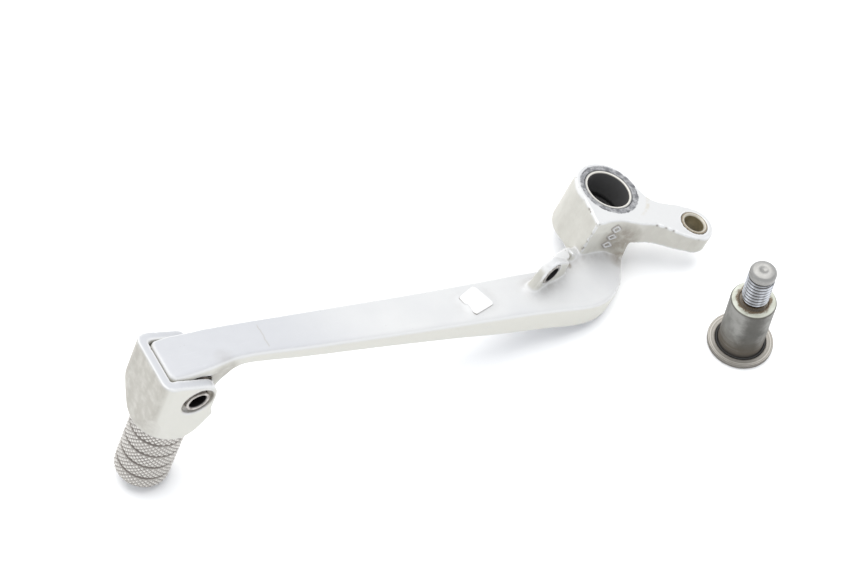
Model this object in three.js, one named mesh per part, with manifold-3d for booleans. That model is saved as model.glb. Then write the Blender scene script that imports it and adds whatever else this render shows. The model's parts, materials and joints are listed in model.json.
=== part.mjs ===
// Motorcycle gear shift lever with its pivot bolt beside it, both as they lie on a bench.
// Millimetres, +Z up. The lever is drawn in its own frame (bore axis = Z, boss top = 0,
// arm along -X) and then laid down in its rest pose. The bolt stands on its head.
import * as THREE from 'three';
import { mergeVertices } from 'three/addons/utils/BufferGeometryUtils.js';
import Module from 'manifold-3d';

const wasm = await Module();
wasm.setup();

// ---- Driving dimensions ----

// Rest pose of the lever: boss end down by the pitch, far side up by the roll.
const REST_PITCH_DEG = 17.17;
const REST_ROLL_DEG = 4.44;
const BOSS_FROM_BOLT = { x: -13.5, y: 51.4 };
const REST_GAP = 0.02;

// Boss and bore
const BOSS_R = 10.4;
const BOSS_H = 18.1;
const BORE_R = 7.5;
const BUSH_BORE_R = 6.6;
const BUSH_LENGTH = 8.2;
const FIT_GAP = 0.12;
const FLAT_CORNER = { x: -12.2, y: -10.8 };
const FLAT_END = { x: -8.9, y: 5.4 };

// Short arm to the linkage
const LINK = { x: 20.1, y: -18.3 };
const LINK_END_R = 6.2;
const LINK_BORE_R = 4.25;
const LINK_EYE_R = 3.05;
const LINK_THICK = 6.1;
const BLOCK_DEPTH = 8.6;

// Long arm
const ARM_TOP = -13.7;
const TONGUE = { centre: -9, halfWidth: 6.25, tip: -147, round: 1.3 };
const EDGE_ROUND = 1.1;

// Fold hinge
const PIN = { x: -138.9, z: -22 };
const PIN_R = 3;
const PIN_HOLLOW_R = 2.3;
const EYE_FRONT = -11.7;
const EYE_REAR = -3.6;
const HINGE_BUSH_R = 4.1;
const SPRING_POCKET_R = 5.9;
const SPRING_WIRE_R = 0.55;
const SPRING_COIL_R = 4.5;
const SPRING = { turns: 1.85, fromDeg: -155, leg: 2.2, gap: 0.12 };

// Toe clevis
const WALL_OUT = -149.8;
const WALL_IN = -147.3;
const EAR = { x: -139.2, z: -21.6, radius: 5.6 };
const CLEVIS_HALF = 9.25;
const CHANNEL_HALF = 6.55;
const CLEVIS_FLOOR = -32;
const CLEVIS_BOTTOM = -38;
const COUNTERBORE = { radius: 4.35, depth: 1.1 };

// Toe peg
const PEG = { x: -139.9, y: -9, radius: 7.5, end: -62.6 };
const PEG_GAP = 0.2;
const SPIGOT_R = 5.2;
const SPIGOT_TOP = -34.2;
const SCREW_R = 2.5;
const SCREW_HEAD_R = 4.2;
const SCREW_END = -49;

// Lug with its threaded insert
const LUG = { x: -34.8, y: -18.5, turnDeg: 13.3, thick: 2.8 };
const LUG_HOLE = { along: 5.4, above: 4.9, radius: 3.4, insertBore: 2.3 };

// Pivot bolt
const BOLT_SHOULDER_R = 6.48;
const BOLT_SHOULDER_TOP = 20.5;
const BOLT_RELIEF = { radius: 4.25, depth: 0.4 };
const BOLT_HEAD = { radius: 9.35, height: 1 };
const BOLT_THREAD = { radius: 3.9, root: 3.25, pitch: 1.25, start: 21.7, end: 31 };
const BOLT_DOG = { radius: 3.75, top: 34.2 };
const SOCKET = { acrossCorners: 4.6, depth: 6 };
const WASHER = { bore: 7.3, radius: 9.4, bottom: 1.15, top: 1.7 };
const SEAL = { bore: 6.62, radius: 7.15, bottom: 1.15, top: 1.85 };

const RAD = Math.PI / 180;

// ---- Helpers ----

// A closed geometry as a manifold-3d solid, turned outward where its faces point inward.
function solid(geometry) {
  const bare = geometry.clone();
  bare.deleteAttribute('normal');
  bare.deleteAttribute('uv');
  const merged = mergeVertices(bare, 1e-4);
  const make = (triVerts) =>
    new wasm.Manifold(
      new wasm.Mesh({ numProp: 3, vertProperties: merged.attributes.position.array, triVerts }),
    );
  const triVerts = new Uint32Array(merged.index.array);
  const made = make(triVerts);
  return made.volume() > 0 ? made : make(triVerts.reverse());
}

function union(...solids) {
  return solids.reduce((sum, next) => sum.add(next));
}

function cut(body, ...tools) {
  return tools.reduce((rest, tool) => rest.subtract(tool), body);
}

function shapeOf(points) {
  return new THREE.Shape(points.map(([x, y]) => new THREE.Vector2(x, y)));
}

function rectangle(left, right, near, far) {
  return shapeOf([[left, near], [right, near], [right, far], [left, far]]);
}

function extrude(shape, depth, edge = 0, curveSegments = 12) {
  return new THREE.ExtrudeGeometry(shape, {
    depth: depth - 2 * edge,
    bevelEnabled: edge > 0,
    bevelSize: edge,
    bevelThickness: edge,
    bevelOffset: -edge,
    bevelSegments: 2,
    curveSegments,
  }).translate(0, 0, edge);
}

// An outline in the XY plane, from a bottom to a top height.
function slabZ(shape, bottom, top, edge = 0, curveSegments = 12) {
  return solid(extrude(shape, top - bottom, edge, curveSegments).translate(0, 0, bottom));
}

// An outline in the XZ plane, from a near to a far Y.
function slabY(shape, near, far, edge = 0, curveSegments = 12) {
  const geometry = extrude(shape, far - near, edge, curveSegments);
  return solid(geometry.rotateX(Math.PI / 2).translate(0, far, 0));
}

// An outline in the YZ plane, from a low to a high X.
function slabX(shape, low, high) {
  const geometry = extrude(shape, high - low);
  return solid(geometry.rotateX(Math.PI / 2).rotateZ(Math.PI / 2).translate(low, 0, 0));
}

// A turned solid about Z: the profile is [radius, z] pairs and closes on the axis or on itself.
function turnedZ(profile, segments = 40, x = 0, y = 0) {
  const points = profile.map(([r, z]) => new THREE.Vector2(r, z));
  const geometry = new THREE.LatheGeometry(points, segments);
  return solid(geometry.rotateX(Math.PI / 2).translate(x, y, 0));
}

// A turned solid about an axis parallel to Y: the profile is [radius, y] pairs.
function turnedY(profile, x, z, segments = 32) {
  const points = profile.map(([r, y]) => new THREE.Vector2(r, y));
  return solid(new THREE.LatheGeometry(points, segments).translate(x, 0, z));
}

function rodProfile(radius, bottom, top) {
  return [[0, bottom], [radius, bottom], [radius, top], [0, top]];
}

function tubeProfile(inner, outer, bottom, top, chamfer = 0) {
  return [
    [inner, bottom],
    [outer - chamfer, bottom],
    [outer, bottom + chamfer],
    [outer, top - chamfer],
    [outer - chamfer, top],
    [inner, top],
    [inner, bottom],
  ];
}

// A smooth value along x through a few [x, value] pairs listed from the boss to the toe.
function along(pairs) {
  const curve = new THREE.CatmullRomCurve3(
    pairs.map(([x, value]) => new THREE.Vector3(x, value, 0)),
    false,
    'centripetal',
  );
  const samples = curve.getPoints(pairs.length * 12);
  return (x) => {
    const next = samples.findIndex((p) => p.x <= x);
    if (next < 0) return samples[samples.length - 1].y;
    if (next === 0) return samples[0].y;
    const a = samples[next - 1];
    const b = samples[next];
    return a.y + ((x - a.x) / (b.x - a.x)) * (b.y - a.y);
  };
}

// A solid through rings of equal length, closed with a fan at each end.
function loft(rings) {
  const n = rings[0].length;
  const positions = rings.flat(2);
  const index = [];
  for (let i = 0; i + 1 < rings.length; i++) {
    for (let j = 0; j < n; j++) {
      const a = i * n + j;
      const b = i * n + ((j + 1) % n);
      index.push(a, b, b + n, a, b + n, a + n);
    }
  }
  const last = (rings.length - 1) * n;
  for (let j = 1; j + 1 < n; j++) {
    index.push(0, j + 1, j, last, last + j, last + j + 1);
  }
  const geometry = new THREE.BufferGeometry();
  geometry.setAttribute('position', new THREE.Float32BufferAttribute(positions, 3));
  geometry.setIndex(index);
  return solid(geometry);
}

// A rectangle with rounded corners in the YZ plane at x.
function roundedSection(x, near, far, bottom, top, radius) {
  const r = Math.min(radius, (far - near) / 2.2, (top - bottom) / 2.2);
  const centres = [
    [far - r, top - r, 0],
    [near + r, top - r, 90],
    [near + r, bottom + r, 180],
    [far - r, bottom + r, 270],
  ];
  const ring = [];
  for (const [y, z, start] of centres) {
    for (const turn of [0, 30, 60, 90]) {
      const angle = (start + turn) * RAD;
      ring.push([x, y + r * Math.cos(angle), z + r * Math.sin(angle)]);
    }
  }
  return ring;
}

function meshOf(name, body, material) {
  const made = body.getMesh();
  const indexed = new THREE.BufferGeometry();
  indexed.setAttribute('position', new THREE.Float32BufferAttribute(made.vertProperties, 3));
  indexed.setIndex(new THREE.Uint32BufferAttribute(made.triVerts, 1));
  const geometry = indexed.toNonIndexed();
  geometry.computeVertexNormals();
  const mesh = new THREE.Mesh(geometry, new THREE.MeshStandardMaterial(material));
  mesh.name = name;
  return mesh;
}

// ---- Materials ----

const SILVER = { color: 0xd6d8dc, roughness: 0.45, metalness: 0.6 };
const BUSH_STEEL = { color: 0xc4c0b6, roughness: 0.3, metalness: 1 };
const BRASS = { color: 0xa8874f, roughness: 0.45, metalness: 1 };
const PEG_STEEL = { color: 0x9a9288, roughness: 0.45, metalness: 0.9 };
const DARK_STEEL = { color: 0x4a4642, roughness: 0.5, metalness: 0.9 };
const BOLT_STEEL = { color: 0x6f6a62, roughness: 0.5, metalness: 0.9 };
const RUBBER = { color: 0x1c1b1a, roughness: 0.8, metalness: 0 };

// ---- Lever arm ----

const FRONT_EDGE = along([
  [6.2, -9.8], [1.6, -15.4], [-4.6, -23], [-10.4, -26.6], [-17, -28], [-37, -25.3],
  [-75, -20.7], [-110, -16.2], [-123, -14.3], [-129, -14.1], [-135, -14.9],
  [-140, TONGUE.centre - TONGUE.halfWidth],
  [TONGUE.tip + TONGUE.round, TONGUE.centre - TONGUE.halfWidth],
  [TONGUE.tip, TONGUE.centre - TONGUE.halfWidth + TONGUE.round],
]);
const REAR_EDGE = along([
  [6.2, -8.2], [1.6, -7.6], [-9, -8.6], [-18, -11.4], [-41, -10.4], [-66, -8.6],
  [-109, -4.7], [-129, -2.9],
  [-136, TONGUE.centre + TONGUE.halfWidth],
  [TONGUE.tip + TONGUE.round, TONGUE.centre + TONGUE.halfWidth],
  [TONGUE.tip, TONGUE.centre + TONGUE.halfWidth - TONGUE.round],
]);
const ARM_THICK = along([
  [6.2, 5.9], [1.6, 6.4], [-3.8, 7.9], [-30, 8.7], [-45, 8.4], [-62, 7], [-84, 5.7],
  [-110, 4.8], [-124, 4.2], [-147, 4],
]);

function longArm() {
  const stations = [6.2, 4.4, 2.6, 0.8, -1, -2.8, -4.6, -6.8, -9, -11.5, -14, -17, -20.5, -24.5];
  for (let x = -30; x >= -118; x -= 8) stations.push(x);
  stations.push(-123, -126, -129, -132, -135, -138, -142);
  for (const inset of [TONGUE.round, TONGUE.round / 2, 0]) stations.push(TONGUE.tip + inset);
  return loft(
    stations.map((x) =>
      roundedSection(x, FRONT_EDGE(x), REAR_EDGE(x), ARM_TOP - ARM_THICK(x), ARM_TOP, EDGE_ROUND),
    ),
  );
}

// Boss and short arm seen from above.
function blockOutline() {
  const shape = new THREE.Shape();
  shape.moveTo(FLAT_CORNER.x, FLAT_CORNER.y);
  shape.lineTo(-6.5, -10.8);
  shape.bezierCurveTo(-1, -11, 1, -14.2, 5.4, -15);
  shape.bezierCurveTo(9.5, -16, 12.4, -21, LINK.x - 4.2, LINK.y - 4.6);
  shape.absarc(LINK.x, LINK.y, LINK_END_R, -132 * RAD, 55 * RAD);
  shape.bezierCurveTo(18, -8.4, 11.6, -9.4, 10.7, -3.6);
  shape.absarc(0, 0, BOSS_R, -8 * RAD, 148.8 * RAD);
  return shape;
}

// The wall that joins the boss to the long arm: hollow at the front and flared toward the foot.
function web() {
  const top = -4.5;
  const bottom = ARM_TOP - 4;
  const steps = 8;
  const rings = [];
  for (let i = 0; i <= steps; i++) {
    const flare = 2.2 * (i / steps) ** 0.6;
    const shape = new THREE.Shape();
    shape.moveTo(FLAT_CORNER.x + 0.1, FLAT_CORNER.y);
    shape.lineTo(-6.5, FLAT_CORNER.y);
    shape.bezierCurveTo(-3.4, -10.8, -0.9, -11.2 - flare / 2, 0.6, -13.1 - flare);
    shape.lineTo(1.8, -13.1 - flare);
    shape.lineTo(6.4, -8.2);
    shape.lineTo(0, 0);
    shape.lineTo(-10, -2);
    const z = top + ((bottom - top) * i) / steps;
    rings.push(shape.getPoints(8).map((p) => [p.x, p.y, z]));
  }
  return loft(rings);
}

// The boss, with a flat cheek on the arm's side whose lower edge climbs toward the web.
function bossBody() {
  const boss = turnedZ(tubeProfile(0, BOSS_R, -BOSS_H, 0, 0.7).slice(0, -1), 56);
  const plan = slabZ(
    shapeOf([[FLAT_CORNER.x, FLAT_CORNER.y], [0, FLAT_CORNER.y], [0, 6], [FLAT_END.x, FLAT_END.y]]),
    -BOSS_H,
    0,
  );
  const side = new THREE.Shape();
  side.moveTo(FLAT_CORNER.y - 1, -0.6);
  side.lineTo(FLAT_CORNER.y - 1, -11);
  side.quadraticCurveTo(-4.8, -14, -3.7, 0.8 - BOSS_H);
  side.lineTo(7, 0.8 - BOSS_H);
  side.lineTo(7, -0.6);
  return union(boss, plan.intersect(slabX(side, -20, 5)));
}

function shortArm() {
  const block = slabZ(blockOutline(), -BLOCK_DEPTH, 0, 0.55, 10);
  const relief = shapeOf([
    [4.5, -12], [4.5, -BLOCK_DEPTH], [16, -LINK_THICK], [30, -LINK_THICK], [30, -12],
  ]);
  return cut(block, slabY(relief, -30, -2));
}

// The upright lug on the arm, with its gusset to the boss and the narrow slot between them.
function lugBody() {
  const shape = new THREE.Shape();
  const { along: u, above: v, radius } = LUG_HOLE;
  shape.moveTo(-1.5, -1);
  shape.lineTo(u - radius - 1.2, v);
  shape.absarc(u, v, radius + 1.2, Math.PI, 60 * RAD, true);
  shape.lineTo(14.5, 4.6);
  shape.lineTo(14.5, -1);
  const blade = extrude(shape, LUG.thick, 0.5, 8);
  blade.rotateX(Math.PI / 2).translate(0, LUG.thick, 0);
  blade.rotateZ(LUG.turnDeg * RAD).translate(LUG.x, LUG.y, ARM_TOP);
  const top = shapeOf([
    [-24, ARM_TOP - 1], [-24, -9.8], [-18.4, -9.6], [-16.4, -10.3], [-14.2, -12.2],
    [-11, ARM_TOP + 0.3], [-11, ARM_TOP - 1],
  ]);
  const plan = shapeOf([
    [-26, -13.2], [-21, -13.2], [-12, -10.7], [-9, -10.7], [-9, -7], [-20, -9.5], [-26, -11],
  ]);
  const gusset = slabY(top, -14, -6).intersect(slabZ(plan, -20, 0));
  const slot = slabY(rectangle(-18.2, -17, ARM_TOP, -9), -14, -10.4);
  return union(solid(blade), cut(gusset, slot));
}

// Hinge eye at the toe end of the arm, with room for the spring on the near side.
function hingeEye() {
  const shape = new THREE.Shape();
  shape.moveTo(TONGUE.tip, ARM_TOP - 1.5);
  shape.lineTo(TONGUE.tip, PIN.z);
  shape.absarc(PIN.x, PIN.z, -TONGUE.tip + PIN.x, Math.PI, 1.85 * Math.PI);
  shape.quadraticCurveTo(-129.9, -18.6, -124, -17.6);
  shape.lineTo(-124, ARM_TOP - 1.5);
  const body = slabY(shape, FRONT_EDGE(-131) + 0.4, EYE_REAR, 0, 10);
  const pocket = turnedY(rodProfile(SPRING_POCKET_R, -20, EYE_FRONT), PIN.x, PIN.z);
  const underPocket = shapeOf([
    [PIN.x - 12, -40], [PIN.x + 6.4, -40], [PIN.x + 6.4, PIN.z], [PIN.x - 12, PIN.z],
  ]);
  const frontRelief = slabY(underPocket, -20, EYE_FRONT);
  return { body, pockets: [pocket, frontRelief] };
}

function leverArm() {
  const eye = hingeEye();
  const padOutline = shapeOf([[-58, -14.2], [-57.2, -19.6], [-49.1, -18.1], [-51, -12.3]]);
  const pad = slabZ(padOutline, ARM_TOP - 1, ARM_TOP + 0.5);
  const raw = union(longArm(), bossBody(), shortArm(), web(), lugBody(), eye.body, pad);
  const lugHole = new THREE.CylinderGeometry(LUG_HOLE.radius, LUG_HOLE.radius, 20, 28);
  lugHole.translate(LUG_HOLE.along, 0, LUG_HOLE.above);
  lugHole.rotateZ(LUG.turnDeg * RAD).translate(LUG.x, LUG.y, ARM_TOP);
  return cut(
    raw,
    ...eye.pockets,
    turnedZ(rodProfile(BORE_R, -30, 5), 40),
    turnedZ(rodProfile(LINK_BORE_R, -30, 5), 32, LINK.x, LINK.y),
    turnedY(rodProfile(HINGE_BUSH_R, -30, 10), PIN.x, PIN.z),
    slabZ(rectangle(-150, -131.4, EYE_REAR, 0), -40, ARM_TOP - 2.2),
    solid(lugHole),
  );
}

// ---- Toe piece ----

function clevisSide() {
  const shape = new THREE.Shape();
  shape.moveTo(WALL_OUT, CLEVIS_BOTTOM - 1);
  shape.lineTo(-130.8, CLEVIS_BOTTOM - 1);
  shape.lineTo(-131.2, -32);
  shape.lineTo(EAR.x + EAR.radius + 0.2, -27.5);
  shape.lineTo(EAR.x + EAR.radius, EAR.z);
  shape.absarc(EAR.x, EAR.z, EAR.radius, 0, 80 * RAD);
  shape.lineTo(-145.5, ARM_TOP - 0.3);
  shape.lineTo(WALL_OUT, ARM_TOP);
  return shape;
}

function clevisPlan() {
  const near = PEG.y - CLEVIS_HALF;
  const far = PEG.y + CLEVIS_HALF;
  const round = 3;
  const shape = new THREE.Shape();
  shape.moveTo(-128, near);
  shape.lineTo(-128, far);
  shape.lineTo(WALL_OUT + round, far);
  shape.absarc(WALL_OUT + round, far - round, round, Math.PI / 2, Math.PI);
  shape.absarc(WALL_OUT + round, near + round, round, Math.PI, 1.5 * Math.PI);
  return shape;
}

function toeClevis() {
  const near = PEG.y - CLEVIS_HALF;
  const far = PEG.y + CLEVIS_HALF;
  const block = slabY(clevisSide(), near, far, 0.6, 10).intersect(slabZ(clevisPlan(), -45, 0, 0, 6));
  const skirt = turnedZ(
    [
      [0, CLEVIS_BOTTOM], [8.3, CLEVIS_BOTTOM], [9.1, CLEVIS_BOTTOM + 0.8], [9.9, -35.2],
      [10.9, -31.6], [13.4, -23.5], [16, -10], [0, -10],
    ],
    48, PEG.x, PEG.y,
  );
  const opening = rectangle(WALL_IN, -120, PEG.y - CHANNEL_HALF, PEG.y + CHANNEL_HALF);
  const pinBore = turnedY(rodProfile(PIN_R + FIT_GAP, near - 1, far + 1), PIN.x, PIN.z);
  const nearSeat = turnedY(rodProfile(COUNTERBORE.radius, near - 1, near + COUNTERBORE.depth), PIN.x, PIN.z);
  const farSeat = turnedY(rodProfile(COUNTERBORE.radius, far - COUNTERBORE.depth, far + 1), PIN.x, PIN.z);
  const spigotBore = turnedZ(rodProfile(SPIGOT_R + FIT_GAP, -50, SPIGOT_TOP + 0.2), 32, PEG.x, PEG.y);
  const screwSeat = turnedZ(
    [
      [0, -36], [SCREW_R + FIT_GAP, -36], [SCREW_R + FIT_GAP, SPIGOT_TOP + 0.1],
      [SCREW_HEAD_R + FIT_GAP, CLEVIS_FLOOR - 0.45], [SCREW_HEAD_R + FIT_GAP, -30], [0, -30],
    ],
    32, PEG.x, PEG.y,
  );
  return cut(
    block.intersect(skirt),
    slabZ(opening, CLEVIS_FLOOR, 0),
    pinBore, nearSeat, farSeat, spigotBore, screwSeat,
  );
}

function toePeg() {
  const { radius, end } = PEG;
  const top = CLEVIS_BOTTOM - PEG_GAP;
  const profile = [[0, end], [radius - 1.8, end], [radius - 0.6, end + 0.5], [radius, end + 1.7]];
  const grooves = 4;
  const pitch = (top - end) / (grooves + 0.9);
  for (let i = 1; i <= grooves; i++) {
    const z = end + i * pitch;
    profile.push([radius, z - 0.5], [radius - 0.45, z], [radius, z + 0.5]);
  }
  profile.push([radius, top - 0.4], [radius - 0.4, top]);
  profile.push([SPIGOT_R, top], [SPIGOT_R, SPIGOT_TOP], [0, SPIGOT_TOP]);
  return cut(
    turnedZ(profile, 44, PEG.x, PEG.y),
    turnedZ(rodProfile(SCREW_R + FIT_GAP, SCREW_END - 1, SPIGOT_TOP + 1), 32, PEG.x, PEG.y),
  );
}

function pegScrew() {
  const top = CLEVIS_FLOOR - 0.05;
  const body = turnedZ(
    [
      [0, SCREW_END], [SCREW_R - 0.4, SCREW_END], [SCREW_R, SCREW_END + 0.6], [SCREW_R, SPIGOT_TOP + 0.2],
      [SCREW_HEAD_R, top - 0.25], [SCREW_HEAD_R, top], [0, top],
    ],
    32, PEG.x, PEG.y,
  );
  const socket = new THREE.CylinderGeometry(1.7, 1.7, 4, 6).rotateX(Math.PI / 2);
  return cut(body, solid(socket.translate(PEG.x, PEG.y, CLEVIS_FLOOR)));
}

// A tubular rivet: its ends are rolled over a little in the counterbores of the ears.
function hingePin() {
  const half = CLEVIS_HALF - COUNTERBORE.depth;
  const flare = { out: 0.6, from: 0.7, to: 1.15 };
  const upper = [
    [PIN_HOLLOW_R, half + flare.to], [PIN_R + flare.out, half + flare.to],
    [PIN_R + flare.out, half + flare.from], [PIN_R, half + flare.from],
  ];
  const lower = upper.map(([r, y]) => [r, -y]).reverse();
  const ring = [...upper, ...lower, upper[0]];
  return turnedY(ring.map(([r, y]) => [r, PEG.y + y]), PIN.x, PIN.z);
}

// Coil round the pin on the near side of the eye, with a leg along the arm and a short free leg.
class SpringPath extends THREE.Curve {
  getPoint(t) {
    const legShare = 0.12;
    const pitch = 2 * SPRING_WIRE_R + SPRING.gap;
    const farY = EYE_FRONT - 2 * SPRING.gap - SPRING_WIRE_R;
    const s = Math.min(t / (1 - legShare), 1);
    const angle = SPRING.fromDeg * RAD + s * SPRING.turns * 2 * Math.PI;
    const reach = (Math.max(t - 1 + legShare, 0) / legShare) * SPRING.leg;
    return new THREE.Vector3(
      PIN.x + SPRING_COIL_R * Math.cos(angle) - reach * Math.sin(angle),
      farY - (1 - s) * SPRING.turns * pitch,
      PIN.z + SPRING_COIL_R * Math.sin(angle) + reach * Math.cos(angle),
    );
  }
}

function torsionSpring() {
  const section = new THREE.Shape().absarc(0, 0, SPRING_WIRE_R, 0, 2 * Math.PI);
  const options = { extrudePath: new SpringPath(), steps: 72, curveSegments: 4, bevelEnabled: false };
  return solid(new THREE.ExtrudeGeometry(section, options));
}

// ---- Bolt ----

function boltThread(profile) {
  const { radius, root, pitch, start, end } = BOLT_THREAD;
  for (let z = start; z + pitch <= end; z += pitch) {
    profile.push([root, z], [radius, z + pitch * 0.44], [radius, z + pitch * 0.56]);
  }
  profile.push([root, end]);
}

function pivotBolt() {
  const { radius, height } = BOLT_HEAD;
  const reliefFloor = BOLT_SHOULDER_TOP - BOLT_RELIEF.depth;
  const profile = [
    [0, 0], [radius - 0.4, 0], [radius, 0.3], [radius, height - 0.3], [radius - 0.3, height],
    [BOLT_SHOULDER_R, height], [BOLT_SHOULDER_R, BOLT_SHOULDER_TOP - 0.35],
    [BOLT_SHOULDER_R - 0.35, BOLT_SHOULDER_TOP], [BOLT_RELIEF.radius, BOLT_SHOULDER_TOP],
    [BOLT_RELIEF.radius, reliefFloor], [BOLT_THREAD.root - 0.15, reliefFloor],
  ];
  boltThread(profile);
  profile.push(
    [BOLT_DOG.radius, BOLT_THREAD.end + 0.4], [BOLT_DOG.radius, BOLT_DOG.top - 1],
    [BOLT_DOG.radius - 1, BOLT_DOG.top], [1.3, BOLT_DOG.top], [0, BOLT_DOG.top - 0.5],
  );
  const socket = new THREE.CylinderGeometry(SOCKET.acrossCorners, SOCKET.acrossCorners, 2 * SOCKET.depth, 6);
  return cut(turnedZ(profile, 40), solid(socket.rotateX(Math.PI / 2)));
}

// ---- Assembly ----

function pivotBush(bottom, top) {
  return turnedZ(tubeProfile(BUSH_BORE_R, BORE_R - FIT_GAP, bottom, top, 0.25), 40);
}

function linkageBush() {
  const profile = tubeProfile(LINK_EYE_R, LINK_BORE_R - FIT_GAP, -LINK_THICK - 0.15, 0.2, 0.2);
  return turnedZ(profile, 32, LINK.x, LINK.y);
}

function lugInsert() {
  const profile = tubeProfile(LUG_HOLE.insertBore, LUG_HOLE.radius - FIT_GAP, -0.15, LUG.thick + 0.15, 0.2);
  const geometry = new THREE.LatheGeometry(profile.map(([r, y]) => new THREE.Vector2(r, y)), 28);
  geometry.translate(LUG_HOLE.along, 0, LUG_HOLE.above);
  return solid(geometry.rotateZ(LUG.turnDeg * RAD).translate(LUG.x, LUG.y, ARM_TOP));
}

function hingeBush() {
  const profile = tubeProfile(PIN_R + FIT_GAP, HINGE_BUSH_R - FIT_GAP, EYE_FRONT + 0.1, EYE_REAR - 0.1);
  return turnedY(profile, PIN.x, PIN.z);
}

function hingeShim() {
  const profile = tubeProfile(PIN_R + 0.2, PIN_R + 2.6, EYE_REAR + 0.15, PEG.y + CHANNEL_HALF - 0.15);
  return turnedY(profile, PIN.x, PIN.z);
}

function leverGroup() {
  const group = new THREE.Group();
  group.add(
    meshOf('lever_arm', leverArm(), SILVER),
    meshOf('pivot_bush_upper', pivotBush(-BUSH_LENGTH, -0.05), BUSH_STEEL),
    meshOf('pivot_bush_lower', pivotBush(-BOSS_H + 0.05, -BOSS_H + BUSH_LENGTH), BUSH_STEEL),
    meshOf('linkage_bush', linkageBush(), BRASS),
    meshOf('lug_insert', lugInsert(), DARK_STEEL),
    meshOf('hinge_bush', hingeBush(), BRASS),
    meshOf('hinge_shim', hingeShim(), DARK_STEEL),
    meshOf('torsion_spring', torsionSpring(), DARK_STEEL),
    meshOf('toe_clevis', toeClevis(), SILVER),
    meshOf('toe_peg', toePeg(), PEG_STEEL),
    meshOf('peg_screw', pegScrew(), DARK_STEEL),
    meshOf('hinge_pin', hingePin(), DARK_STEEL),
  );
  group.rotation.set(REST_ROLL_DEG * RAD, REST_PITCH_DEG * RAD, 0, 'XYZ');
  group.position.set(BOSS_FROM_BOLT.x, BOSS_FROM_BOLT.y, 0);
  return group;
}

function boltGroup() {
  const group = new THREE.Group();
  const ring = ({ bore, radius, bottom, top }, chamfer) =>
    turnedZ(tubeProfile(bore, radius, bottom, top, chamfer), 40);
  group.add(
    meshOf('pivot_bolt', pivotBolt(), BOLT_STEEL),
    meshOf('flange_washer', ring(WASHER, 0.15), BOLT_STEEL),
    meshOf('dust_seal', ring(SEAL, 0.25), RUBBER),
  );
  return group;
}

// The bench is z = 0 and the origin is under the middle of the whole object.
function onBench(lever, bolt) {
  const root = new THREE.Group();
  root.add(lever, bolt);
  lever.updateMatrixWorld(true);
  lever.position.z = REST_GAP - new THREE.Box3().setFromObject(lever, true).min.z;
  root.updateMatrixWorld(true);
  const middle = new THREE.Box3().setFromObject(root, true).getCenter(new THREE.Vector3());
  for (const part of [lever, bolt]) {
    part.position.x -= middle.x;
    part.position.y -= middle.y;
  }
  return root;
}

export default onBench(leverGroup(), boltGroup());
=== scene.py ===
"""Looks of the gear shift lever and its pivot bolt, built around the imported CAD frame.

The lever's pieces are made in the lever's own frame, in millimetres: origin on the bore's axis at
the boss top, X toward the boss end, Z up the bore. The bolt's pieces are made in the bolt's frame:
origin under the middle of its head, Z up. Every piece keeps those millimetres in its "mm"
attribute, so that its material stays with it in every pose.
"""

import json
import math

import bmesh
import bpy
import numpy as np
from mathutils import Matrix, Vector
from mathutils.bvhtree import BVHTree


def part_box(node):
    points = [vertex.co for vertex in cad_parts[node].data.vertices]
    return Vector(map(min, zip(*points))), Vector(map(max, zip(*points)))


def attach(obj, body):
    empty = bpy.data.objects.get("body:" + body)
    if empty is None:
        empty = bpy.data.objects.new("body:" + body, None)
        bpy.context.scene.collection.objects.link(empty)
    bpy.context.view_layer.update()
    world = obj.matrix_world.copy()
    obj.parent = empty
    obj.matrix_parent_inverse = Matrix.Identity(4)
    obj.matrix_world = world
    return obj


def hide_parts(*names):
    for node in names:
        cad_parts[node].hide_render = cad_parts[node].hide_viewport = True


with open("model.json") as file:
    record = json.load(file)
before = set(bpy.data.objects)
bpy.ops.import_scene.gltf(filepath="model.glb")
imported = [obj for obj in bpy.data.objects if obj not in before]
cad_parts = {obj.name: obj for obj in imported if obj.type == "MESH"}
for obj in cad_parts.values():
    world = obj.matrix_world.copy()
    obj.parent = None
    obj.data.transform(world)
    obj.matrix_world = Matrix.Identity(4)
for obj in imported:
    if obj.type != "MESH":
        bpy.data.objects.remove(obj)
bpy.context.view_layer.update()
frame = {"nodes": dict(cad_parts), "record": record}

MM = 0.001
TAU = 2 * math.pi

# Camera, in degrees and metres: its azimuth and elevation turn about the target on the bench.
CAMERA = {"azimuth": 35.263, "elevation": 53.096, "roll": 5.355, "distance": 0.4959}
CAMERA_TARGET = Vector((0.013055, 0.032317, 0.0))
LENS_MM = 72.05
SENSOR_MM = 36.0

VOXEL = 0.3
EDGE_SMOOTHING = 7
NICKS_ON_ARM = 46
NICKS_ON_CLEVIS = 4
SEED = 11

# Places on the lever, in its own millimetres.
WEB_HOLLOW = (-0.6, -12.5, -7.5)
WEB_FOOT = (1.2, -14.5, -13.5)
WEB_ROOT = (3.5, -14, -9)
LUG_FOOT = (-6, -11)
GUSSET = (-19, -11.5)
# Spots of painted shade, where the slot behind the lug lies dark.
SLOT_SHADE_SPOTS = (((-17.6, -12.2, -10.4), 0.5), ((-17.5, -12.9, -11.8), 0.7), ((-17.7, -13.2, -13.2), 0.6))
LONG_ARM_START = -24
CREASE = (-118, -9.6)
HINGE_EYE_FOOT = (-131, -13, -18)
TONGUE = (-147, -9)
LINKAGE_EYE = (20.1, -18.3)
CHEEK_EDGE = ((-8.9, 5.0, -0.5), (-12.1, -10.6, -0.5))
CHEEK_NICKS = (0.12, 0.34, 0.4, 0.62, 0.68, 0.97)
LUG_INSERT_ABOVE_ARM = 1.5

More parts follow.
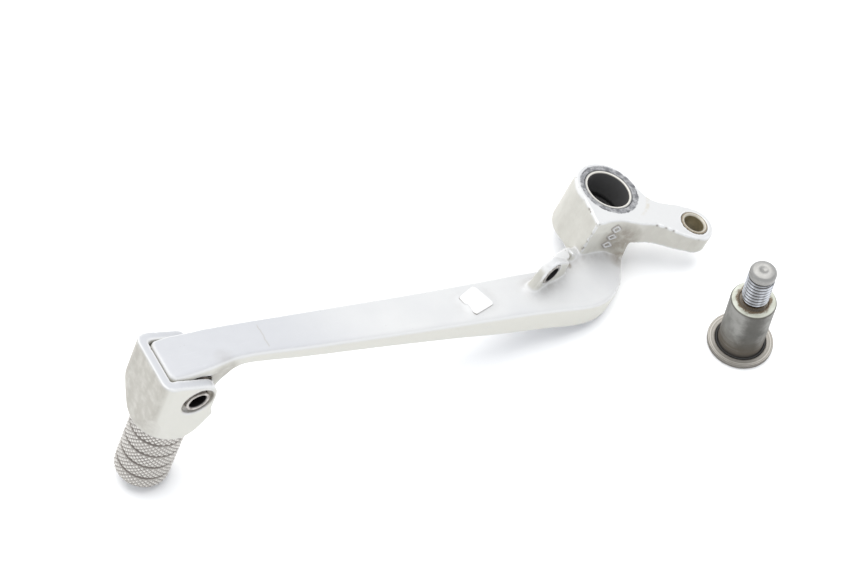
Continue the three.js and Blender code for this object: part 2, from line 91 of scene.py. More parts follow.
# The pivot bolt, in millimetres above the underside of its head.
SHOULDER_TOP = 20.5
RELIEF = {"outer": 4.2, "floor": 4.1, "depth": 0.35}
THREAD = {"start": 21.3, "end": 31.2, "major": 3.82, "root": 3.25, "pitch": 1.25}
DOG_RADIUS = 3.75
SOCKET = {"radius": 4.6, "depth": 6.0}


# ---- Frames ----


def lever_frame():
    """The lever's own frame, from its two hinges: Z up the bore, Y along the fold pin."""
    joints = {j["name"]: j for j in frame["record"]["behaviour"]["joints"]}
    z = Vector(joints["lever_swing"]["axis"]).normalized()
    y = -Vector(joints["toe_fold"]["axis"]).normalized()
    matrix = Matrix((y.cross(z), y, z)).transposed().to_4x4()
    matrix.translation = Vector(joints["lever_swing"]["pos_m"])
    return matrix @ Matrix.Scale(MM, 4)


def bolt_frame():
    low, high = (Vector(corner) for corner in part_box("pivot_bolt"))
    middle = (low + high) / 2
    return Matrix.Translation((middle.x, middle.y, low.z)) @ Matrix.Scale(MM, 4)


LEVER = lever_frame()
BOLT = bolt_frame()


def node_points(node, matrix):
    """The vertices of a CAD node, in the given frame."""
    mesh = frame["nodes"][node].data
    flat = np.empty(len(mesh.vertices) * 3)
    mesh.vertices.foreach_get("co", flat)
    inverse = np.array(matrix.inverted())
    return flat.reshape(-1, 3) @ inverse[:3, :3].T + inverse[:3, 3]


def turned_size(node, matrix, axis="z"):
    """Centre line, inner and outer radius, and ends of a turned CAD node."""
    points = node_points(node, matrix)
    along = {"y": 1, "z": 2}[axis]
    across = [i for i in range(3) if i != along]
    low, high = points.min(axis=0), points.max(axis=0)
    centre = (low[across] + high[across]) / 2
    radii = np.linalg.norm(points[:, across] - centre, axis=1)
    return {
        "centre": centre,
        "inner": radii.min(),
        "outer": radii.max(),
        "low": low[along],
        "high": high[along],
        "axis": axis,
    }


# ---- Mesh making ----


def new_object(name, points, faces):
    mesh = bpy.data.meshes.new(name)
    mesh.from_pydata([tuple(p) for p in points], [], faces)
    made = bmesh.new()
    made.from_mesh(mesh)
    bmesh.ops.remove_doubles(made, verts=made.verts, dist=1e-4)
    bmesh.ops.recalc_face_normals(made, faces=made.faces)
    made.to_mesh(mesh)
    made.free()
    obj = bpy.data.objects.new(name, mesh)
    bpy.context.scene.collection.objects.link(obj)
    return obj


def soften(profile, radius, closed=False, steps=4):
    """Rounds the corners of a [radius, height] line."""
    count = len(profile)
    rounded = []
    for i, corner in enumerate(np.array(profile, float)):
        if not closed and i in (0, count - 1):
            rounded.append(corner)
            continue
        before = np.array(profile[i - 1], float)
        after = np.array(profile[(i + 1) % count], float)
        start, end = (
            corner + (other - corner) * min(0.45, radius / max(np.linalg.norm(other - corner), 1e-6))
            for other in (before, after)
        )
        for k in range(steps + 1):
            t = k / steps
            rounded.append((1 - t) ** 2 * start + 2 * t * (1 - t) * corner + t * t * end)
    return rounded


def revolve(rows, columns, closed, radius_at=None):
    """Points and faces of rows of [radius, height] turned about Z. radius_at(row, angles, radius)
    may change a row's radius round the turn."""
    angles = np.arange(columns) * TAU / columns
    points = []
    for i, (radius, height) in enumerate(rows):
        radii = np.full(columns, radius) if radius_at is None else radius_at(i, angles, radius)
        heights = np.full(columns, height)
        points.append(np.stack([radii * np.cos(angles), radii * np.sin(angles), heights], 1))
    count = len(rows)
    faces = []
    for i in range(count if closed else count - 1):
        a, b = i * columns, ((i + 1) % count) * columns
        for j in range(columns):
            k = (j + 1) % columns
            faces.append((a + j, a + k, b + k, b + j))
    return np.concatenate(points), faces


def turned(name, size, profile, columns=96, rounding=0.15):
    """A turned piece about its CAD node's centre line, from a closed [radius, height] profile."""
    rows = soften(profile, rounding, True)
    points, faces = revolve(rows, columns, True)
    return new_object(name, place_on_axis(points, size), faces)


def place_on_axis(points, size):
    """Moves points turned about Z onto a CAD node's centre line."""
    placed = np.zeros_like(points)
    if size["axis"] == "z":
        placed[:, 0] = points[:, 0] + size["centre"][0]
        placed[:, 1] = points[:, 1] + size["centre"][1]
        placed[:, 2] = points[:, 2]
    else:
        placed[:, 0] = points[:, 0] + size["centre"][0]
        placed[:, 1] = points[:, 2]
        placed[:, 2] = points[:, 1] + size["centre"][1]
    return placed


def tube_profile(inner, outer, low, high):
    return [(inner, low), (outer, low), (outer, high), (inner, high)]


def ring(node, matrix, axis="z", columns=96, rounding=0.15):
    """A plain ring, the size of its CAD node."""
    size = turned_size(node, matrix, axis)
    profile = tube_profile(size["inner"], size["outer"], size["low"], size["high"])
    return turned(node + "_turned", size, profile, columns, rounding)


# ---- Forged pieces: the CAD solid remeshed, filleted, smoothed and nicked ----


class Skin:
    """A triangle or quad mesh as numpy arrays, with neighbour sums."""

    def __init__(self, mesh):
        self.points = np.empty(len(mesh.vertices) * 3)
        mesh.vertices.foreach_get("co", self.points)
        self.points = self.points.reshape(-1, 3)
        edges = np.empty(len(mesh.edges) * 2, int)
        mesh.edges.foreach_get("vertices", edges)
        edges = edges.reshape(-1, 2)
        self.a = np.concatenate([edges[:, 0], edges[:, 1]])
        self.b = np.concatenate([edges[:, 1], edges[:, 0]])
        self.count = np.bincount(self.a, minlength=len(self.points)).clip(1)
        self.mesh = mesh

    def mean(self, values):
        """Each vertex's mean of its neighbours' values."""
        if values.ndim == 1:
            return np.bincount(self.a, values[self.b], len(self.points)) / self.count
        return np.stack([self.mean(values[:, i]) for i in range(values.shape[1])], 1)

    def store(self):
        self.mesh.vertices.foreach_set("co", self.points.ravel())
        self.mesh.update()

    def normals(self):
        self.store()
        flat = np.empty(len(self.points) * 3)
        self.mesh.vertices.foreach_get("normal", flat)
        return flat.reshape(-1, 3)

    def smooth(self, times, weight=1.0):
        """Rounds edges without shrinking the piece: each pass in is followed by a pass out."""
        weight = np.broadcast_to(np.asarray(weight, float), len(self.points))[:, None]
        for _ in range(times):
            for step in (0.55, -0.5):
                self.points = self.points + step * weight * (self.mean(self.points) - self.points)

    def relax(self, times, weight):
        """Plain averaging, for edges that were forged broad and soft."""
        for _ in range(times):
            self.points = self.points + 0.5 * weight[:, None] * (self.mean(self.points) - self.points)

    def fill_corners(self, times, weight):
        """Grows fillets: only hollows move, and only outward."""
        for turn in range(times):
            if turn % 6 == 0:
                normals = self.normals()
            pull = self.mean(self.points) - self.points
            rise = np.clip((pull * normals).sum(1), 0, None) * weight
            self.points = self.points + 0.9 * rise[:, None] * normals

    def bend(self, times):
        """How far each vertex stands proud of its surroundings: positive on edges."""
        normals = self.normals()
        bend = ((self.points - self.mean(self.points)) * normals).sum(1)
        for _ in range(times):
            bend = self.mean(bend)
        return bend


def near(points, centre, radius, soft=1.5, axes=(0, 1, 2)):
    """1 inside a ball, or inside a cylinder when two axes are given, falling to 0 outside it."""
    axes = list(axes)
    distance = np.linalg.norm(points[:, axes] - np.array(centre, float)[axes], axis=1)
    return np.clip((radius + soft - distance) / soft, 0, 1)


def remeshed(name, node):
    """A copy of a CAD solid in the lever's frame, remeshed evenly."""
    mesh = frame["nodes"][node].data.copy()
    mesh.transform(LEVER.inverted())
    mesh.materials.clear()
    joined = bmesh.new()
    joined.from_mesh(mesh)
    bmesh.ops.remove_doubles(joined, verts=joined.verts, dist=1e-4)
    joined.to_mesh(mesh)
    joined.free()
    obj = bpy.data.objects.new(name, mesh)
    bpy.context.scene.collection.objects.link(obj)
    remesh = obj.modifiers.new("remesh", "REMESH")
    remesh.mode = "VOXEL"
    remesh.voxel_size = VOXEL
    bpy.context.view_layer.update()
    made = bpy.data.meshes.new_from_object(obj.evaluated_get(bpy.context.evaluated_depsgraph_get()))
    obj.modifiers.clear()
    obj.data = made
    made.name = name
    return obj


def add_nicks(skin, rng, count, bend, keep_off, chosen=()):
    """Small dents on the worn edges, and at the chosen places. Returns how deep each vertex lies
    in one."""
    edge = np.flatnonzero((bend > np.quantile(bend, 0.93)) & (keep_off < 0.1))
    depth = np.zeros(len(skin.points))
    for centre in [*skin.points[rng.choice(edge, count)], *chosen]:
        radius = rng.uniform(0.35, 0.95)
        reach = np.linalg.norm((skin.points - centre) * rng.uniform(0.6, 1.4, 3), axis=1) / radius
        depth = np.maximum(depth, np.clip(1 - reach, 0, 1) * rng.uniform(0.5, 1.0))
    skin.points = skin.points - (0.28 * depth)[:, None] * skin.normals()
    return depth


def keep_attribute(mesh, name, values):
    attribute = mesh.attributes.new(name, "FLOAT", "POINT")
    attribute.data.foreach_set("value", np.ascontiguousarray(values, dtype=np.float32))


def finish_skin(obj, skin, nick, grime_and_shade, edge_wear_and_highlight=1.0):
    """Stores the skin with the attributes that its paint reads."""
    bend = skin.bend(2)
    scale = np.quantile(np.abs(bend), 0.985)
    skin.store()
    keep_attribute(obj.data, "edge", np.clip(bend / scale, 0, 1) * edge_wear_and_highlight)
    hollow = -bend
    for _ in range(10):
        hollow = skin.mean(hollow)
    keep_attribute(obj.data, "hollow", np.clip(hollow / scale * 2.5, 0, 1))
    keep_attribute(obj.data, "nick", nick)
    # grime_and_shade holds real dirt and painted shade together: the paints darken where it is marked.
    keep_attribute(obj.data, "grime_and_shade", grime_and_shade)
    side = np.clip((0.8 - np.abs(skin.normals()[:, 2])) / 0.35, 0, 1)
    for _ in range(3):
        side = skin.mean(side)
    keep_attribute(obj.data, "side", side)


def lever_arm():
    pin = turned_size("hinge_pin", LEVER, "y")["centre"]
    link = turned_size("linkage_bush", LEVER)["centre"]
    lug = node_points("lug_insert", LEVER).mean(axis=0)
    obj = remeshed("lever_arm_forged", "lever_arm")
    skin = Skin(obj.data)
    points = skin.points
    holes = np.maximum.reduce([
        near(points, (0, 0, 0), 8.2, axes=(0, 1)),
        near(points, (link[0], link[1], 0), 4.8, axes=(0, 1)),
        near(points, lug, 4.4),
        near(points, (pin[0], 0, pin[1]), 10.5, axes=(0, 2)),
    ])
    round_forging(skin, 1 - holes, lug)
    start, end = np.array(CHEEK_EDGE)
    cheek_nicks = [start + share * (end - start) for share in CHEEK_NICKS]
    nick = add_nicks(skin, np.random.default_rng(SEED), NICKS_ON_ARM, skin.bend(1), holes, cheek_nicks)
    tongue = near(skin.points, (*TONGUE, arm_top() - 0.1), 9)
    finish_skin(obj, skin, nick, arm_grime_and_shade(skin), 1 - 0.75 * tongue)
    return obj


def arm_top():
    """Height of the long arm's top face."""
    return turned_size("lug_insert", LEVER)["low"] - LUG_INSERT_ABOVE_ARM


def round_forging(skin, open_metal, lug):
    """Fillets and edge rounding of the arm: broad on the forged faces, sharp at machined holes."""
    points = skin.points
    foot = near(points, (*LUG_FOOT, arm_top() - 0.1), 9) * open_metal
    root = near(points, WEB_ROOT, 6) * open_metal
    skin.fill_corners(40, open_metal)
    skin.fill_corners(25, foot)
    skin.fill_corners(200, root)
    skin.smooth(EDGE_SMOOTHING, 0.35 + 0.65 * open_metal)
    skin.relax(22, np.clip((LONG_ARM_START - skin.points[:, 0]) / 4, 0, 1) * open_metal)
    skin.relax(18, near(skin.points, lug, 6.5, soft=2) * open_metal)
    skin.relax(20, near(skin.points, (*GUSSET, arm_top() + 2.5), 4.5, soft=2))


def arm_grime_and_shade(skin):
    """Dirt and painted shade: dirt with painted shade under the short arm in the hollow of the web and at
    its foot, painted shade with a little dirt on the faces that look toward the toe, painted shade on
    the short arm's side and in the slot behind the lug, and dirt round the hinge eye."""
    points, normals = skin.points, skin.normals()
    # The web hollow and its foot lie under the short arm: their dark is dirt with painted shade.
    hollow = near(points, WEB_HOLLOW, 3.2, soft=4.5)
    foot = near(points, WEB_FOOT, 1.6, soft=3.5)
    eye = near(points, HINGE_EYE_FOOT, 2.5, soft=3.0)
    # Painted shade, with a little dirt, on the faces that look toward the toe.
    dirt_and_shade_toward_toe = np.clip((-normals[:, 0] - 0.35) / 0.4, 0, 1)
    # Painted shade on the short arm's sides.
    short_arm_side_shade = np.clip((points[:, 0] - 1) / 4, 0, 1) * np.clip((0.75 - normals[:, 2]) / 0.3, 0, 1)
    # Painted shade in the slot behind the lug.
    slot = [near(points, place, radius, soft=0.6) for place, radius in SLOT_SHADE_SPOTS]
    return np.maximum.reduce([
        0.85 * hollow, foot, 0.5 * eye, *slot, 0.2 * dirt_and_shade_toward_toe, 0.24 * short_arm_side_shade,
    ])


def arm_pad():
    """A low welded pad on the long arm, with a nibbled corner, a painted shadow round its foot and a
    painted highlight over its top.
    """
    outline = [
        (-58.4, -14.5), (-58.0, -16.3), (-57.0, -16.7), (-57.1, -19.0), (-56.4, -19.7),
        (-49.6, -18.4), (-49.2, -17.7), (-51.2, -13.0), (-52.2, -12.4), (-57.6, -14.0),
    ]
    middle = np.array((-53.9, -16.0))
    outline = middle + (np.array(outline) - middle) * (1.0, 1.22)
    outline = np.concatenate([
        [a + share * (b - a) for share in (0, 0.25, 0.5, 0.75)]
        for a, b in zip(outline, np.roll(outline, -1, 0))
    ])
    count = len(outline)
    top = arm_top()
    rings = ((1.0, top - 0.4), (1.0, top + 0.3), (0.975, top + 0.44), (0.9, top + 0.48))
    points = [(*(middle + share * (p - middle)), height) for share, height in rings for p in outline]
    points.append((*middle, top + 0.48))
    faces = []
    for level in range(len(rings) - 1):
        for i in range(count):
            k = (i + 1) % count
            a, b = level * count, (level + 1) * count
            faces.append((a + i, a + k, b + k, b + i))
    last = (len(rings) - 1) * count
    faces += [(last + i, last + (i + 1) % count, len(points) - 1) for i in range(count)]
    obj = new_object("arm_pad", points, faces)
    # Full grime_and_shade on the foot ring paints the shadow line round the pad's step; side 0.5 on the
    # upper rings lays the painted edge highlight over the whole top.
    low = np.repeat([share == 1.0 for share, _ in rings], count).astype(float)
    keep_attribute(obj.data, "grime_and_shade", np.append(low, 0.0))
    keep_attribute(obj.data, "side", np.append(0.5 * (1 - low), 0.5))
    obj.modifiers.new("smooth", "SUBSURF").levels = 2
    return obj


def toe_clevis():
    pin = turned_size("hinge_pin", LEVER, "y")["centre"]
    obj = remeshed("toe_clevis_forged", "toe_clevis")
    skin = Skin(obj.data)
    bore = near(skin.points, (pin[0], 0, pin[1]), 4.6, axes=(0, 2))
    skin.fill_corners(30, 1 - bore)
    skin.smooth(EDGE_SMOOTHING + 3, 0.3 + 0.7 * (1 - bore))
    nick = add_nicks(skin, np.random.default_rng(SEED + 1), NICKS_ON_CLEVIS, skin.bend(1), bore)
    # Painted shade, with a little dirt, on the faces that look toward the toe, and painted shade in the
    # pin's counterbore.
    dirt_and_shade_toward_toe = np.clip((-skin.normals()[:, 0] - 0.55) / 0.3, 0, 1)
    counterbore_shade = near(skin.points, (pin[0], 0, pin[1]), 4.2, soft=0.5, axes=(0, 2))
    finish_skin(obj, skin, nick, np.maximum(0.5 * dirt_and_shade_toward_toe, counterbore_shade), 0.45)
    return obj


def cast_mark(arm):
    """Three raised lozenges on the hollow of the web: a generic foundry mark."""
    tree = BVHTree.FromPolygons(
        [v.co for v in arm.data.vertices], [tuple(p.vertices) for p in arm.data.polygons]
    )
    middle_x, heights, half_width, half_height = -3.7, (-3.5, -6.9, -10.3), 1.6, 1.55
    proud, level, deep, corners = 0.42, 0.05, 0.5, 16
    rings = (
        (1.4, deep), (1.3, -level), (1.02, -level), (0.84, -proud), (0.56, -proud), (0.4, -level),
        (0.2, deep),
    )
    points, faces = [], []
    for middle_z in heights:
        base = len(points)
        middle_y = tree.ray_cast(Vector((middle_x, -40, middle_z)), Vector((0, 1, 0)))[0].y
        for size, depth in rings:
            for corner in range(corners):
                turn = corner * TAU / corners
                reach = size / (abs(math.cos(turn)) + abs(math.sin(turn))) ** 0.85
                x = middle_x + half_width * reach * math.cos(turn)
                z = middle_z + half_height * reach * math.sin(turn)
                hit = tree.ray_cast(Vector((x, -40, z)), Vector((0, 1, 0)))[0]
                points.append((x, max(hit.y, middle_y - 1) + depth, z))
        for row in range(len(rings)):
            a = base + row * corners
            b = base + (row + 1) % len(rings) * corners
            for corner in range(corners):
                k = (corner + 1) % corners
                faces.append((a + corner, a + k, b + k, b + corner))
    obj = new_object("web_cast_mark", points, faces)
    raised = np.array([depth == -proud for _ in heights for _, depth in rings for _ in range(corners)])
    # The ground round the lozenges is darkened like the web hollow, dirt with painted shade; the raised
    # tops get the edge value, rubbed paint with a painted highlight.
    keep_attribute(obj.data, "grime_and_shade", np.where(raised, 0.0, 0.8))
    keep_attribute(obj.data, "edge", np.where(raised, 0.7, 0.0))
    obj.modifiers.new("smooth", "SUBSURF").levels = 2
    return obj


# ---- Toe peg ----


def toe_peg():
    """The knurled peg: a diamond knurl cut by ring grooves, with a rounded end and its spigot."""
    size = turned_size("toe_peg", LEVER)
    top = turned_size("toe_clevis", LEVER)["low"] - 0.2
    radius, end = size["outer"], size["low"]
    grooves, groove_depth, groove_half_width = 4, 0.62, 0.6
    groove_pitch = (top - end) / (grooves + 0.9)
    groove_side = math.radians(215)
    teeth, rise, depth = 32, 1.45, 0.36
    rows = peg_rows(radius, end, top, size["high"])
    heights = np.array([height for _, height in rows])

    def knurled(row, angles, base):
        height = heights[row]
        if base < radius - 0.8 or height > top - 0.2:
            return np.full(len(angles), base)
        first = np.abs(((angles * teeth / TAU + height / rise) % 1) * 2 - 1)
        second = np.abs(((angles * teeth / TAU - height / rise) % 1) * 2 - 1)
        cut = depth * (1 - np.clip(1.55 * np.minimum(1 - first, 1 - second), 0, 1))
        from_groove = min(abs(height - (end + i * groove_pitch)) for i in range(1, grooves + 1))
        uneven = 0.62 + 0.38 * np.cos(angles - groove_side) + 0.14 * np.sin(5 * angles + height)
        groove = groove_depth * max(0.0, 1 - (from_groove / groove_half_width) ** 2) * uneven
        fade = min(1.0, (base - radius + 0.8) / 0.8)
        return base - np.maximum(cut * fade, groove)

    columns = teeth * 12
    points, faces = revolve(rows, columns, False, knurled)
    last = (len(rows) - 1) * columns
    faces.append(tuple(range(columns)))
    faces.append(tuple(range(last, last + columns)))
    obj = new_object("toe_peg_knurled", place_on_axis(points, size), faces)
    skin = Skin(obj.data)
    radii = np.linalg.norm(skin.points[:, :2] - size["centre"], axis=1)
    keep_attribute(obj.data, "hollow", np.clip((radius - radii) / 0.5, 0, 1))
    return obj


def peg_rows(radius, end, top, spigot_top):
    """The peg's [radius, height] line: rounded end, long body, and its drilled spigot."""
    round_end, round_height = 1.9, 1.71
    spigot, spigot_bore, bore_floor = 5.2, 2.7, 13
    rows = [(0.02, end), (radius * 0.4, end)]
    for k in range(13):
        turn = k / 12 * math.pi / 2
        inward, up = round_end * (1 - math.sin(turn)), round_height * (1 - math.cos(turn))
        rows.append((radius - inward, end + up))
    body_start = end + round_height
    steps = 170
    for k in range(1, steps):
        rows.append((radius, body_start + (top - 0.5 - body_start) * k / steps))
    rows += [(radius, top - 0.5), (radius - 0.15, top - 0.15), (radius - 0.5, top)]
    rows += [(spigot, top), (spigot, spigot_top)]
    rows += [(spigot_bore, spigot_top), (spigot_bore, end + bore_floor)]
    return rows


# ---- Turned pieces of the lever ----


def linkage_bush():
    """A bush with a chamfered mouth, its outer edge sunk a little below the rim."""
    size = turned_size("linkage_bush", LEVER)
    inner, outer, low, high = size["inner"], size["outer"], size["low"], size["high"]
    profile = [
        (inner, low), (outer, low), (outer, high - 0.05), (outer - 0.3, high - 0.05),
        (inner + 0.45, high), (inner, high - 0.5),
    ]
    return turned("linkage_bush_turned", size, profile, rounding=0.14)


def lug_insert():
    """The insert stands across the lug: it is turned about Z and then laid over and swung."""
    points = node_points("lug_insert", LEVER)
    centre = points.mean(axis=0)
    flat = points[:, :2] - centre[:2]
    values, vectors = np.linalg.eigh(flat.T @ flat)
    across = vectors[:, 0] if vectors[1, 0] > 0 else -vectors[:, 0]
    length = np.ptp(flat @ across)
    outer = np.ptp(points[:, 2]) / 2
    inner = outer * 0.7
    rows = soften(tube_profile(inner, outer, -length / 2, length / 2), 0.2, True)
    made, faces = revolve(rows, 64, True)
    side = np.array([across[1], -across[0]])
    placed = np.zeros_like(made)
    placed[:, :2] = made[:, :1] * side + made[:, 2:] * across + centre[:2]
    placed[:, 2] = made[:, 1] + centre[2]
    obj = new_object("lug_insert_turned", placed, faces)
    points = Skin(obj.data).points - (*centre[:2], centre[2])
    radii = np.hypot(points[:, :2] @ side, points[:, 2])
    # Painted shade inside the insert's bore.
    keep_attribute(obj.data, "grime_and_shade", np.clip((inner + 0.3 - radii) / 0.2, 0, 1))
    return obj


def hinge_pin():
    """A tubular rivet with rolled ends."""
    size = turned_size("hinge_pin", LEVER, "y")
    low, high, inner, outer = size["low"], size["high"], size["inner"], size["outer"]
    shank = turned_size("hinge_bush", LEVER, "y")["inner"] - 0.12
    lip = (shank + outer) / 2 - 0.1
    half = [(inner + 0.35, high - 0.02), (lip - 0.12, high - 0.1), (lip, high - 0.3), (shank, high - 0.6)]
    middle = (low + high) / 2
    profile = half + [(r, 2 * middle - h) for r, h in reversed(half)]
    profile += [(inner, low + 0.5), (inner, high - 0.5)]
    obj = turned("hinge_pin_rivet", size, profile, columns=72, rounding=0.12)
    radii = np.linalg.norm(Skin(obj.data).points[:, [0, 2]] - size["centre"], axis=1)
    # Painted shade inside the pin's bore.
    keep_attribute(obj.data, "grime_and_shade", np.clip((inner + 0.25 - radii) / 0.2, 0, 1))
    return obj


def peg_screw():
    """A countersunk screw with a hex socket."""
    size = turned_size("peg_screw", LEVER)
    head, top, end = size["outer"], size["high"], size["low"]
    shank = 2.45
    rows = soften(
        [(0.02, end), (shank - 0.4, end), (shank, end + 0.5), (shank, top - 1.95), (head, top - 0.25),
         (head, top), (1.75, top), (1.7, top - 1.9), (0.02, top - 2.0)],
        0.12,
    )
    heights = [h for _, h in rows]

    def shaped(row, angles, base):
        if heights[row] < top - 1.9 - 1e-6 and base < 1.6 or base > 1.95 or heights[row] < top - 2.05:
            return np.full(len(angles), base)
        turn = (angles % (TAU / 6)) - TAU / 12
        return base * math.cos(TAU / 12) / np.cos(turn)

    points, faces = revolve(rows, 72, False, shaped)
    return new_object("peg_screw_turned", place_on_axis(points, size), faces)


def torsion_spring():
    """Two coils round the pin on the near side of the hinge eye, with a short leg at the far end."""
    size = turned_size("torsion_spring", LEVER, "y")
    pin = turned_size("hinge_pin", LEVER, "y")["centre"]
    wire = 0.52
    coil_radius = 4.5
    low, high = size["low"] + wire + 0.03, size["high"] - wire - 0.03
    turns, start = 1.85, math.radians(-155)
    path = []
    count = 110
    for k in range(count + 1):
        share = k / count
        angle = start + share * turns * TAU
        path.append((
            pin[0] + coil_radius * math.cos(angle),
            low + share * (high - low),
            pin[1] + coil_radius * math.sin(angle),
        ))
    angle = start + turns * TAU
    tail = path[-1]
    for k in range(1, 9):
        reach = 2.0 * k / 8
        path.append((tail[0] - reach * math.sin(angle), tail[1], tail[2] + reach * math.cos(angle)))
    return wire_along("torsion_spring_coil", path, wire, sides=14)


def wire_along(name, path, radius, sides):
    """A round wire of the given radius along a path, closed at both ends."""
    path = np.array(path)
    tangents = np.gradient(path, axis=0)
    tangents /= np.linalg.norm(tangents, axis=1)[:, None]
    side = np.array([0.0, 1.0, 0.0])
    points = []
    for place, tangent in zip(path, tangents):
        side = side - tangent * side.dot(tangent)
        side /= np.linalg.norm(side)
        other = np.cross(tangent, side)
        for k in range(sides):
            angle = k * TAU / sides
            points.append(place + radius * (math.cos(angle) * side + math.sin(angle) * other))
    faces = []
    for i in range(len(path) - 1):
        for j in range(sides):
            k = (j + 1) % sides
            faces.append((i * sides + j, i * sides + k, (i + 1) * sides + k, (i + 1) * sides + j))
    faces.append(tuple(range(sides)))
    faces.append(tuple(range((len(path) - 1) * sides, len(path) * sides)))
    return new_object(name, points, faces)


# ---- Bolt ----


def pivot_bolt():
    """Head with a hex socket, shoulder, helical M8 thread and a dog point with a dimple."""
    size = turned_size("pivot_bolt", BOLT)
    head, top = size["outer"], size["high"]
    shoulder = turned_size("dust_seal", BOLT)["inner"] - 0.14
    head_top = turned_size("dust_seal", BOLT)["low"] - 0.15
    socket, socket_depth = SOCKET["radius"], SOCKET["depth"]
    thread_start, thread_end, root = THREAD["start"], THREAD["end"], THREAD["root"]
    lower = soften(
        [(0.02, socket_depth + 1.0), (socket * 0.87, socket_depth), (socket * 0.99, 0.35),
         (socket * 1.1, 0.0), (head - 0.35, 0.0), (head, 0.32), (head, head_top - 0.25),
         (head - 0.25, head_top), (shoulder, head_top)],
        0.1,
    )
    middle = soften(
        [(shoulder, head_top), (shoulder, SHOULDER_TOP - 0.5), (shoulder - 0.45, SHOULDER_TOP),
         (RELIEF["outer"], SHOULDER_TOP), (RELIEF["floor"], SHOULDER_TOP - RELIEF["depth"]),
         (root - 0.12, SHOULDER_TOP - RELIEF["depth"]), (root - 0.12, thread_start)],
        0.2,
    )
    steps = 190
    rise = (thread_end - thread_start) / steps
    thread = [(THREAD["major"], thread_start + rise * k) for k in range(1, steps)]
    dog = soften(
        [(root, thread_end), (DOG_RADIUS, thread_end + 0.45), (DOG_RADIUS, top - 1.1),
         (DOG_RADIUS - 0.6, top - 0.3), (2.0, top), (1.3, top - 0.03), (0.7, top - 0.35),
         (0.02, top - 0.55)],
        0.35,
    )
    rows = lower + middle[1:] + thread + dog
    first_thread = len(lower) + len(middle) - 1
    heights = np.array([height for _, height in rows])

    def shaped(row, angles, base):
        height = heights[row]
        if first_thread <= row < first_thread + len(thread):
            wave = np.abs(((height / THREAD["pitch"] - angles / TAU) % 1) * 2 - 1)
            crest = np.clip(1.35 * wave - 0.12, 0, 1)
            fade = min(1.0, (height - thread_start) / 0.9, (thread_end - height) / 0.7)
            return root + (THREAD["major"] - root) * crest * max(fade, 0.0)
        if row < len(lower) and base < socket * 1.12 and height < socket_depth + 0.2 and base > 1:
            turn = (angles % (TAU / 6)) - TAU / 12
            hexagon = math.cos(TAU / 12) / np.cos(turn)
            blend = np.clip(height / 0.4, 0, 1)
            return base * (blend * hexagon + (1 - blend))
        return np.full(len(angles), base)

    points, faces = revolve(rows, 120, False, shaped)
    return new_object("pivot_bolt_threaded", points + np.array([*size["centre"], 0]), faces)


# ---- Materials ----


